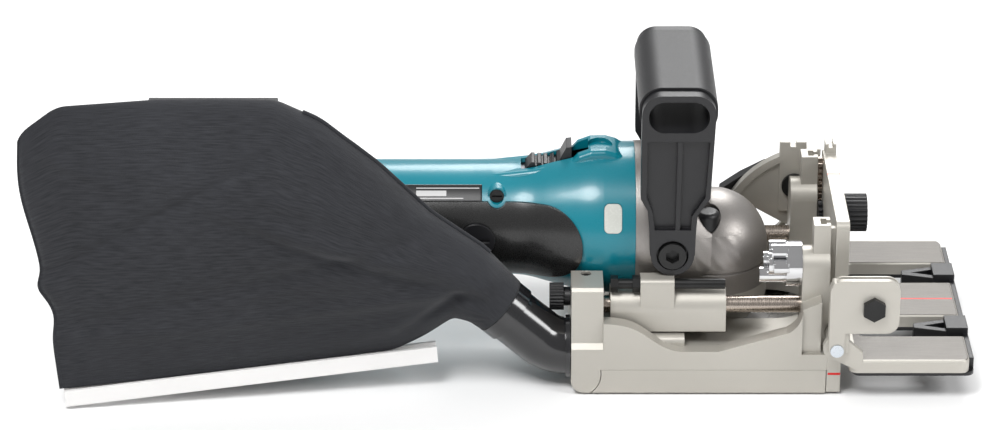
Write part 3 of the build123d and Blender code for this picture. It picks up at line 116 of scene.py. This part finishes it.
# ---- shader groups shared by the finishes
def newGroup(name, inputs, outputs):
    group = bpy.data.node_groups.new(name, "ShaderNodeTree")
    for label, kind, value in inputs:
        socket = group.interface.new_socket(name=label, in_out="INPUT", socket_type=kind)
        socket.default_value = value
    for label, kind in outputs:
        group.interface.new_socket(name=label, in_out="OUTPUT", socket_type=kind)
    start = group.nodes.new("NodeGroupInput")
    end = group.nodes.new("NodeGroupOutput")
    return group, start, end


def addNode(tree, kind, **settings):
    node = tree.nodes.new(kind)
    for key, value in settings.items():
        setattr(node, key, value)
    return node


def addMath(tree, operation, first, second=None, third=None, clamp=False):
    node = addNode(tree, "ShaderNodeMath", operation=operation, use_clamp=clamp)
    for index, source in enumerate((first, second, third)):
        if source is None:
            continue
        if hasattr(source, "links"):
            tree.links.new(source, node.inputs[index])
        else:
            node.inputs[index].default_value = source
    return node.outputs[0]


def makeSpeckle():
    # fine and broad noise over the surface, stretched along one direction where the finish has a grain
    group, start, end = newGroup(
        "speckle",
        [("Fine Scale", "NodeSocketFloat", 900.0), ("Broad Scale", "NodeSocketFloat", 40.0),
         ("Stretch", "NodeSocketVector", (1.0, 1.0, 1.0))],
        [("Fine", "NodeSocketFloat"), ("Broad", "NodeSocketFloat")])
    place = addNode(group, "ShaderNodeTexCoord")
    stretch = addNode(group, "ShaderNodeVectorMath", operation="MULTIPLY")
    group.links.new(place.outputs["Object"], stretch.inputs[0])
    group.links.new(start.outputs["Stretch"], stretch.inputs[1])
    for label, detail in (("Fine", 3.0), ("Broad", 4.0)):
        noise = addNode(group, "ShaderNodeTexNoise")
        noise.inputs["Detail"].default_value = detail
        group.links.new(stretch.outputs[0], noise.inputs["Vector"])
        group.links.new(start.outputs[label + " Scale"], noise.inputs["Scale"])
        group.links.new(noise.outputs["Fac"], end.inputs[label])
    return group


def makeBoxMask():
    # 1 inside a box given by its corners, 0 outside
    group, start, end = newGroup(
        "boxMask", [("Low", "NodeSocketVector", (0, 0, 0)), ("High", "NodeSocketVector", (1, 1, 1))],
        [("Mask", "NodeSocketFloat")])
    place = addNode(group, "ShaderNodeTexCoord")
    worst = None
    for first, second in (("Object", "Low"), ("High", "Object")):
        away = addNode(group, "ShaderNodeVectorMath", operation="SUBTRACT")
        for index, label in enumerate((first, second)):
            source = place.outputs["Object"] if label == "Object" else start.outputs[label]
            group.links.new(source, away.inputs[index])
        parts = addNode(group, "ShaderNodeSeparateXYZ")
        group.links.new(away.outputs[0], parts.inputs[0])
        for axis in range(3):
            nearest = parts.outputs[axis]
            worst = nearest if worst is None else addMath(group, "MINIMUM", worst, nearest)
    group.links.new(addMath(group, "GREATER_THAN", worst, 0.0), end.inputs["Mask"])
    return group


def makeWeave():
    # plain weave on the cloth's own map: crossing threads and slubs along the weft
    group, start, end = newGroup(
        "weave", [("Warp Count", "NodeSocketFloat", 420.0), ("Weft Count", "NodeSocketFloat", 300.0)],
        [("Height", "NodeSocketFloat"), ("Slub", "NodeSocketFloat")])
    place = addNode(group, "ShaderNodeTexCoord")
    parts = addNode(group, "ShaderNodeSeparateXYZ")
    group.links.new(place.outputs["UV"], parts.inputs[0])
    waves = []
    for axis, label in ((0, "Warp Count"), (1, "Weft Count")):
        turns = addMath(group, "MULTIPLY", parts.outputs[axis], start.outputs[label])
        waves.append(addMath(group, "SINE", addMath(group, "MULTIPLY", turns, 2 * math.pi)))
    height = addMath(group, "MULTIPLY", waves[0], waves[1])
    group.links.new(height, end.inputs["Height"])
    stretch = addNode(group, "ShaderNodeMapping")
    stretch.inputs["Scale"].default_value = (28.0, 420.0, 1.0)
    group.links.new(place.outputs["UV"], stretch.inputs["Vector"])
    slub = addNode(group, "ShaderNodeTexNoise")
    slub.inputs["Scale"].default_value = 1.0
    slub.inputs["Detail"].default_value = 2.0
    group.links.new(stretch.outputs[0], slub.inputs["Vector"])
    group.links.new(slub.outputs["Fac"], end.inputs["Slub"])
    return group


speckleGroup = makeSpeckle()
boxMaskGroup = makeBoxMask()
weaveGroup = makeWeave()


def placeGroup(tree, group, **values):
    node = addNode(tree, "ShaderNodeGroup", node_tree=group)
    for label, value in values.items():
        node.inputs[label.replace("_", " ")].default_value = value
    return node


def mixColour(tree, factor, first, second):
    mix = addNode(tree, "ShaderNodeMix", data_type="RGBA")
    for index, source in ((0, factor), (6, first), (7, second)):
        if hasattr(source, "links"):
            tree.links.new(source, mix.inputs[index])
        else:
            mix.inputs[index].default_value = source if index == 0 else (*source, 1.0)
    return mix.outputs[2]


def rangeOf(tree, value, low, high):
    node = addNode(tree, "ShaderNodeMapRange")
    tree.links.new(value, node.inputs["Value"])
    node.inputs["From Min"].default_value = 0.3
    node.inputs["From Max"].default_value = 0.7
    node.inputs["To Min"].default_value = low
    node.inputs["To Max"].default_value = high
    return node.outputs["Result"]


# ---- finishes: one entry for each material slot. depth is the height of the surface grain in metres
finishes = {
    "cast_silver": {"colours": ((.43, .41, .37), (.50, .48, .435)), "metallic": .5, "rough": (.36, .47),
                    "fine": 2600.0, "broad": 22.0, "depth": .00004, "edge": .0005},
    "guide_aluminium": {"colours": ((.43, .41, .37), (.50, .48, .435)), "metallic": .4, "rough": (.34, .46),
                        "fine": 2600.0, "broad": 22.0, "depth": .00004, "edge": .0004},
    "raw_casting": {"colours": ((.27, .25, .24), (.42, .40, .38)), "metallic": .82, "rough": (.36, .52),
                    "fine": 1500.0, "broad": 34.0, "depth": .00008, "edge": .0006},
    "rod_steel": {"colours": ((.36, .31, .27), (.46, .40, .35)), "metallic": 1.0, "rough": (.2, .32),
                  "fine": 500.0, "broad": 60.0, "depth": 0.0, "edge": .0002, "stretch": (8.0, .4, 1.0)},
    "bearing_steel": {"colours": ((.5, .5, .5), (.6, .6, .6)), "metallic": 1.0, "rough": (.22, .35),
                      "fine": 900.0, "broad": 60.0, "depth": .00001, "edge": .0002},
    "blade_steel": {"colours": ((.52, .52, .52), (.62, .62, .62)), "metallic": 1.0, "rough": (.25, .4),
                    "fine": 700.0, "broad": 30.0, "depth": .00001, "edge": .0002},
    "black_steel": {"colours": ((.012, .012, .012), (.03, .03, .03)), "metallic": .6, "rough": (.28, .42),
                    "fine": 1500.0, "broad": 80.0, "depth": .00002, "edge": .0003},
    "zinc_steel": {"colours": ((.55, .6, .66), (.68, .72, .76)), "metallic": 1.0, "rough": (.24, .38),
                   "fine": 1200.0, "broad": 120.0, "depth": .00001, "edge": .0002},
    "chrome_steel": {"colours": ((.62, .62, .63), (.7, .7, .71)), "metallic": 1.0, "rough": (.05, .1),
                     "fine": 900.0, "broad": 60.0, "depth": .000004, "edge": .0003},
    "bronze": {"colours": ((.5, .34, .16), (.6, .42, .2)), "metallic": 1.0, "rough": (.3, .45),
               "fine": 1500.0, "broad": 60.0, "depth": .00002, "edge": .0002},
    "copper": {"colours": ((.62, .34, .2), (.72, .42, .25)), "metallic": 1.0, "rough": (.25, .4),
               "fine": 900.0, "broad": 60.0, "depth": .00001, "edge": .0002},
    "core_steel": {"colours": ((.16, .16, .17), (.24, .24, .25)), "metallic": .9, "rough": (.4, .55),
                   "fine": 900.0, "broad": 60.0, "depth": .00002, "edge": .0002, "stretch": (6.0, .5, .5)},
    "magnet": {"colours": ((.09, .09, .09), (.14, .14, .14)), "metallic": .4, "rough": (.5, .7),
               "fine": 900.0, "broad": 60.0, "depth": .00002, "edge": .0002},
    "carbon": {"colours": ((.03, .03, .03), (.06, .06, .06)), "metallic": .1, "rough": (.45, .6),
               "fine": 900.0, "broad": 60.0, "depth": .00002, "edge": .0002},
    "teal_plastic": {"colours": ((.0, .17, .225), (.0, .2, .26)), "metallic": 0.0, "rough": (.26, .36),
                     "fine": 3200.0, "broad": 14.0, "depth": .000025, "edge": .0006, "coat": .25},
    "black_plastic": {"colours": ((.006, .006, .007), (.010, .010, .012)),
                      "metallic": 0.0, "rough": (.34, .46),
                      "fine": 2600.0, "broad": 30.0, "depth": .00005, "edge": .0006},
    "gloss_black": {"colours": ((.006, .006, .007), (.010, .010, .012)), "metallic": 0.0, "rough": (.12, .2),
                    "fine": 2400.0, "broad": 18.0, "depth": .00001, "edge": .0005, "coat": .6},
    "battery_plastic": {"colours": ((.02, .02, .021), (.035, .035, .037)),
                        "metallic": 0.0, "rough": (.45, .6),
                        "fine": 2600.0, "broad": 30.0, "depth": .00006, "edge": .0008},
    "black_rubber": {"colours": ((.008, .008, .008), (.013, .013, .013)),
                     "metallic": 0.0, "rough": (.22, .34),
                     "fine": 2600.0, "broad": 16.0, "depth": .00002, "edge": .0006, "coat": .25},
    "grip_rubber": {"colours": ((.008, .008, .009), (.013, .013, .015)), "metallic": 0.0, "rough": (.42, .56),
                    "fine": 3000.0, "broad": 40.0, "depth": .00008, "edge": .0006},
    "clear_plastic": {"colours": ((.52, .53, .49), (.62, .63, .59)), "metallic": 0.0, "rough": (.2, .3),
                      "fine": 900.0, "broad": 120.0, "depth": .00002, "edge": .0003, "coat": .5},
    "white_plastic": {"colours": ((.78, .77, .76), (.84, .83, .82)), "metallic": 0.0, "rough": (.3, .42),
                      "fine": 1200.0, "broad": 14.0, "depth": .00002, "edge": .0004,
                      "stretch": (.15, 1.0, 1.0)},
}

# painted marks: box corners in metres, on the slot that they lie on
redMarks = {
    "cast_silver": (((.060, .0121, .0800), (.067, .0129, .0820)),
                    ((.0575, -.0610, .0094), (.0640, -.0590, .0106))),
    "guide_aluminium": (((.0950, -.0005, .0202), (.1222, .0005, .0210)),
                        ((.1140, -.0392, .0202), (.1240, -.0376, .0210))),
}
guideFace = {"low": (.0705, -.0660, .0203), "high": (.1228, .0660, .0210),
             "colours": ((.085, .078, .070), (.15, .14, .125))}
scallops = {"low": (-.004, -.040, .048), "high": (.018, -.010, .064), "count": 150.0, "slope": .8,
            "depth": .0002}


def makeFinish(name, spec):
    material = bpy.data.materials.new(name)
    material.use_nodes = True
    tree = material.node_tree
    shader = tree.nodes["Principled BSDF"]
    speckle = placeGroup(tree, speckleGroup, Fine_Scale=spec["fine"], Broad_Scale=spec["broad"],
                         Stretch=spec.get("stretch", (1.0, 1.0, 1.0)))
    colour = mixColour(tree, speckle.outputs["Broad"], *spec["colours"])
    rough = rangeOf(tree, speckle.outputs["Fine"], *spec["rough"])
    height = addMath(tree, "MULTIPLY", speckle.outputs["Fine"], spec["depth"])
    if name == "guide_aluminium":
        face = placeGroup(tree, boxMaskGroup, Low=guideFace["low"], High=guideFace["high"])
        brushed = placeGroup(tree, speckleGroup, Fine_Scale=700.0, Broad_Scale=90.0, Stretch=(.12, 3.0, 1.0))
        colour = mixColour(tree, face.outputs[0], colour,
                           mixColour(tree, brushed.outputs["Fine"], *guideFace["colours"]))
    if name == "raw_casting":
        area = placeGroup(tree, boxMaskGroup, Low=scallops["low"], High=scallops["high"])
        place = addNode(tree, "ShaderNodeTexCoord")
        parts = addNode(tree, "ShaderNodeSeparateXYZ")
        tree.links.new(place.outputs["Object"], parts.inputs[0])
        slant = addMath(tree, "MULTIPLY_ADD", parts.outputs[2], scallops["slope"], parts.outputs[0])
        wave = addMath(tree, "SINE", addMath(tree, "MULTIPLY", slant, scallops["count"] * 2 * math.pi))
        ridge = addMath(tree, "MULTIPLY", wave, area.outputs[0])
        ridge = addMath(tree, "MULTIPLY", ridge, scallops["depth"] / 2)
        height = addMath(tree, "ADD", height, ridge)
    for low, high in redMarks.get(name, ()):
        mark = placeGroup(tree, boxMaskGroup, Low=low, High=high)
        colour = mixColour(tree, mark.outputs[0], colour, (.62, .02, .02))
    tree.links.new(colour, shader.inputs["Base Color"])
    tree.links.new(rough, shader.inputs["Roughness"])
    shader.inputs["Metallic"].default_value = spec["metallic"]
    shader.inputs["Coat Weight"].default_value = spec.get("coat", 0.0)
    shader.inputs["Coat Roughness"].default_value = .12
    soften = addNode(tree, "ShaderNodeBevel", samples=4)
    soften.inputs["Radius"].default_value = spec["edge"]
    bump = addNode(tree, "ShaderNodeBump")
    bump.inputs["Strength"].default_value = 1.0
    bump.inputs["Distance"].default_value = 1.0
    tree.links.new(height, bump.inputs["Height"])
    tree.links.new(soften.outputs[0], bump.inputs["Normal"])
    tree.links.new(bump.outputs[0], shader.inputs["Normal"])
    return material


clothFinish = {"colours": ((.010, .0105, .0125), (.046, .048, .055)), "warp": 620.0, "weft": 520.0,
               "rough": .88, "sheen": .1, "depth": .00012}


def makeCloth(name, spec):
    material = bpy.data.materials.new(name)
    material.use_nodes = True
    tree = material.node_tree
    shader = tree.nodes["Principled BSDF"]
    weave = placeGroup(tree, weaveGroup, Warp_Count=spec["warp"], Weft_Count=spec["weft"])
    broad = placeGroup(tree, speckleGroup, Fine_Scale=1400.0, Broad_Scale=18.0)
    tone = addMath(tree, "MULTIPLY_ADD", weave.outputs["Slub"], 1.6, -.4, clamp=True)
    tone = addMath(tree, "MULTIPLY_ADD", broad.outputs["Broad"], .35, addMath(tree, "MULTIPLY", tone, .65))
    tree.links.new(mixColour(tree, tone, *spec["colours"]), shader.inputs["Base Color"])
    shader.inputs["Roughness"].default_value = spec["rough"]
    shader.inputs["Sheen Weight"].default_value = spec["sheen"]
    shader.inputs["Sheen Roughness"].default_value = .45
    shader.inputs["Specular IOR Level"].default_value = .25
    fuzz = addMath(tree, "MULTIPLY_ADD", weave.outputs["Height"], .15, broad.outputs["Fine"])
    bump = addNode(tree, "ShaderNodeBump")
    bump.inputs["Distance"].default_value = 1.0
    tree.links.new(addMath(tree, "MULTIPLY", fuzz, spec["depth"]), bump.inputs["Height"])
    tree.links.new(bump.outputs[0], shader.inputs["Normal"])
    return material


materials = {name: makeFinish(name, spec) for name, spec in finishes.items()}
materials["bag_cloth"] = makeCloth("bag_cloth", clothFinish)
for part in frame["record"]["subparts"]:
    cadPiece = nodes[part["node"]]
    for holder in cadPiece.material_slots:
        holder.material = materials[part["material_slot"]]
print("finishes made for", len(materials), "slots")


# ---- dust bag, in millimetres: a lofted pouch of two panels, pinched into the slide clip below and gathered
# round the collar
dustBag = {
    "along": (0.0, .02, .08, .24, .36, .46, .55, .61, .68, .81, .92, 1.0),
    "topX": (-314.5, -313.0, -297.0, -252.0, -222.0, -199.0, -179.0, -166.0, -153.0, -129.0, -104.0, -87.4),
    "topZ": (133.5, 138.0, 150.6, 153.6, 153.4, 152.6, 142.6, 131.5, 119.0, 91.5, 70.5, 49.9),
    "footAlong": (0.0, .25, .50, .70, .78, .85, .93, 1.0),
    "footX": (-303.5, -250.0, -194.0, -147.0, -131.0, -119.0, -111.5, -106.6),
    "footZ": (8.6, 12.0, 16.2, 19.8, 27.0, 33.5, 31.5, 28.0),
    "halfAlong": (0.0, .04, .12, .30, .50, .72, .86, 1.0),
    "half": (.6, 5.5, 12.0, 19.5, 22.5, 18.0, 15.0, 14.6),
    "topY": (-70.0, -66.0, -45.0),
    "clip": (-214.0, -61.5, 7.0),
    # each fold's height at a place along X, slope, width, the middle and reach of its run, and depth
    "folds": ((33, .30, -150, 6.0, -152, 26, 2.6), (42, .75, -128, 5.0, -128, 15, -4.2),
              (24, .12, -250, 4.5, -235, 45, -1.6), (54, -.10, -290, 5.0, -296, 22, 1.5),
              (136, -.55, -195, 3.0, -190, 18, -1.3)),
    # the slack folds run right across the outer panel: height, slope, place, width and depth
    "slack": ((96, .62, -262, 4.0, -2.2), (88, -.35, -180, 6.0, 2.4), (60, .28, -230, 5.0, -1.9),
              (128, -.45, -285, 4.5, -2.0), (116, -.2, -220, 6.0, 1.8), (48, .12, -180, 4.5, 2.0)),
    "rows": 230, "columns": 200,
}


def bagPoints(shape):
    u = np.linspace(0, 1, shape["rows"])[:, None]
    v = np.linspace(0, 2 * np.pi, shape["columns"], endpoint=False)[None, :]
    rise = (1 - np.cos(v)) / 2 + 0 * u                      # 0 at the foot, 1 at the top edge
    side = np.where(v <= np.pi, -1.0, 1.0) + 0 * u            # -1 on the outer panel
    topX = softCurve(shape["along"], shape["topX"], u, passes=1)
    topZ = softCurve(shape["along"], shape["topZ"], u, passes=1)
    footX = softCurve(shape["footAlong"], shape["footX"], u)
    footZ = softCurve(shape["footAlong"], shape["footZ"], u, passes=1)
    half = softCurve(shape["halfAlong"], shape["half"], u, passes=1)
    bulge = -5.0 * np.exp(-((rise - .82) / .22) ** 2) + 2.2 * np.exp(-((rise - .30) / .07) ** 2)
    bulge = bulge - 3.0 * np.exp(-((rise - .42) / .05) ** 2)
    x = footX + (topX - footX) * rise + (1 - u) ** 6 * bulge
    z = footZ + (topZ - footZ) * rise
    # pouch section: thin at the foot, full above the middle, rounded over at the top; a circle at the neck
    lower = np.sin(np.pi / 2 * np.clip(rise / .66, 0, 1)) ** .95
    upper = np.clip(1 - (np.clip(rise - .66, 0, 1) / .34) ** 2.4, 0, 1) ** .6
    circle = np.sqrt(np.clip(1 - (2 * rise - 1) ** 2, 0, 1))
    round_ = smoothStep(.74, .93, u)
    thick = half * (lower * upper * (1 - round_) + circle * round_)
    thick = np.maximum(thick, .75 * (1 - round_) * smoothStep(0, .02, 1 - rise)) * smoothStep(-.0005, .02, u)
    clipX, clipY, clipTurn = shape["clip"]
    footY = clipY + (x - clipX) * math.tan(math.radians(clipTurn))
    footY = footY * (1 - round_) + shape["topY"][-1] * round_
    topY = np.interp(u, (0, .6, 1), shape["topY"])
    middle = footY + (topY - footY) * smoothStep(0, 1, rise) ** .8
    # soft dents and ridges that start at the neck and at the clip, slack folds on the outer panel, and small
    # creases at the seams
    body = np.sin(np.pi * np.clip(rise, 0, 1)) ** .7 * (1 - smoothStep(.93, 1.0, u))
    fold = 0.0
    for height, slope, place, width, centre, reach, depth in shape["folds"]:
        line = (z - height - slope * (x - place)) / width
        fold = fold + depth * np.exp(-line ** 2) * np.exp(-((x - centre) / reach) ** 2)
    drift = .9 * np.sin(x / 23 + z / 31 + side) + .7 * np.sin(z / 17 - x / 41 + 2 * side)
    for height, slope, place, width, depth in shape["slack"]:
        line = (z - height - slope * (x - place)) / width
        drift = drift + depth * np.exp(-line ** 2) * (side < 0)
    crease = .22 * np.sin(x / 4.1 + 3 * np.sin(z / 19)) * np.exp(-(rise / .16) ** 2)
    crease = crease + .25 * np.sin(np.arctan2(z - 38, x + 97) * 19) * smoothStep(.8, .95, u)
    outward = (fold + drift) * body * np.minimum(1, thick / 8) + crease * np.minimum(1, thick / 2) * body
    y = middle + side * (thick + outward * (thick > .9))
    return np.stack([x, y, z], axis=-1) / 1000


def makeBag(shape):
    points = bagPoints(shape)
    piece = gridSurface("dustBagPouch", points, closeV=True)
    wall = piece.modifiers.new("clothWall", "SOLIDIFY")
    wall.thickness = .0007
    wall.offset = -1
    piece.data.materials.append(materials["bag_cloth"])
    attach(piece, "nozzle")
    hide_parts("dust_bag")
    return points


def tubeAlong(name, path, radius, sides=10):
    # a round section carried along a path: the ring lies across the path's direction at each point
    direction = np.gradient(path, axis=0)
    direction /= np.linalg.norm(direction, axis=1)[:, None]
    across = np.cross(direction, (0, 1.0, 0))
    across /= np.linalg.norm(across, axis=1)[:, None]
    upward = np.cross(direction, across)
    turn = np.linspace(0, 2 * np.pi, sides, endpoint=False)[None, :, None]
    ring = np.cos(turn) * across[:, None, :] + np.sin(turn) * upward[:, None, :]
    ring = path[:, None, :] + radius * ring
    return gridSurface(name, ring, closeV=True)


bagGrid = makeBag(dustBag)
print("dust bag made")

pipingShape = {"start": 118, "end": 214, "radius": .0011, "lift": .0004}
middle = dustBag["columns"] // 2
ridgePath = bagGrid[pipingShape["start"]:pipingShape["end"], middle] + np.array((0, 0, pipingShape["lift"]))
piping = tubeAlong("bagPiping", ridgePath, pipingShape["radius"])
piping.data.materials.append(materials["bag_cloth"])
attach(piping, "nozzle")
print("piping made")


# ---- blank rating label on the housing: a thin black plate that follows the barrel, with plain pale bars
ratingLabel = {"axisZ": 64.5, "radius": 27.68, "startX": -150.0, "endX": -105.5, "low": 39.0, "high": 57.0}


def makeLabel(shape):
    x = np.linspace(shape["startX"], shape["endX"], 60)[:, None]
    angle = np.radians(np.linspace(shape["low"], shape["high"], 24))[None, :]
    points = np.stack([x + 0 * angle, -shape["radius"] * np.cos(angle) + 0 * x,
                       shape["axisZ"] + shape["radius"] * np.sin(angle) + 0 * x], axis=-1) / 1000
    piece = gridSurface("ratingLabel", points)
    wall = piece.modifiers.new("plate", "SOLIDIFY")
    wall.thickness = .00012
    wall.offset = 0
    return piece


def makeLabelFinish():
    material = bpy.data.materials.new("ratingLabelFace")
    material.use_nodes = True
    tree = material.node_tree
    shader = tree.nodes["Principled BSDF"]
    place = addNode(tree, "ShaderNodeTexCoord")
    parts = addNode(tree, "ShaderNodeSeparateXYZ")
    tree.links.new(place.outputs["UV"], parts.inputs[0])
    bars = None
    for low, high, start, end in ((.30, .62, .30, .62), (.74, .80, .30, .97), (.14, .19, .30, .80)):
        inside = addMath(tree, "MULTIPLY", addMath(tree, "GREATER_THAN", parts.outputs[1], low),
                         addMath(tree, "LESS_THAN", parts.outputs[1], high))
        across = addMath(tree, "MULTIPLY", addMath(tree, "GREATER_THAN", parts.outputs[0], start),
                         addMath(tree, "LESS_THAN", parts.outputs[0], end))
        bar = addMath(tree, "MULTIPLY", inside, across)
        bars = bar if bars is None else addMath(tree, "MAXIMUM", bars, bar)
    tree.links.new(mixColour(tree, bars, (.008, .008, .009), (.5, .5, .5)), shader.inputs["Base Color"])
    shader.inputs["Roughness"].default_value = .3
    return material


label = makeLabel(ratingLabel)
label.data.materials.append(makeLabelFinish())
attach(label, "motor_unit")
print("label made")


# ---- studio: pale floor, white surroundings and soft lamps
studio = {"floor": (.86, .86, .86), "world": .42,
          "lamps": (("keyLamp", (-.6, -1.0, 1.8), .8, 33.0), ("fillLamp", (1.2, -.7, 1.0), .6, 11.0),
                    ("rimLamp", (.2, 1.5, 1.4), 1.0, 27.0))}


def makeStudio(setup):
    bpy.context.scene.view_settings.view_transform = "Standard"
    spread = np.linspace(-6, 6, 3)
    gx, gy = np.meshgrid(spread, spread, indexing="ij")
    floor = gridSurface("studioFloor", np.stack([gx, gy, 0 * gx - .0011], -1))
    finish = bpy.data.materials.new("studioFloor")
    finish.use_nodes = True
    shader = finish.node_tree.nodes["Principled BSDF"]
    shader.inputs["Base Color"].default_value = (*setup["floor"], 1)
    shader.inputs["Roughness"].default_value = .9
    floor.data.materials.append(finish)
    world = bpy.data.worlds.new("studioWorld")
    world.use_nodes = True
    world.node_tree.nodes["Background"].inputs["Color"].default_value = (1, 1, 1, 1)
    world.node_tree.nodes["Background"].inputs["Strength"].default_value = setup["world"]
    bpy.context.scene.world = world
    for name, spot, size, power in setup["lamps"]:
        data = bpy.data.lights.new(name, "AREA")
        data.shape = "DISK"
        data.size = size
        data.energy = power
        lamp = bpy.data.objects.new(name, data)
        lamp.location = spot
        aim = np.array((-.09, 0, .06)) - np.array(spot)
        lamp.rotation_euler = (math.atan2(math.hypot(aim[0], aim[1]), -aim[2]), 0,
                               math.atan2(aim[1], aim[0]) - math.pi / 2)
        bpy.context.collection.objects.link(lamp)


makeStudio(studio)
print("studio made")
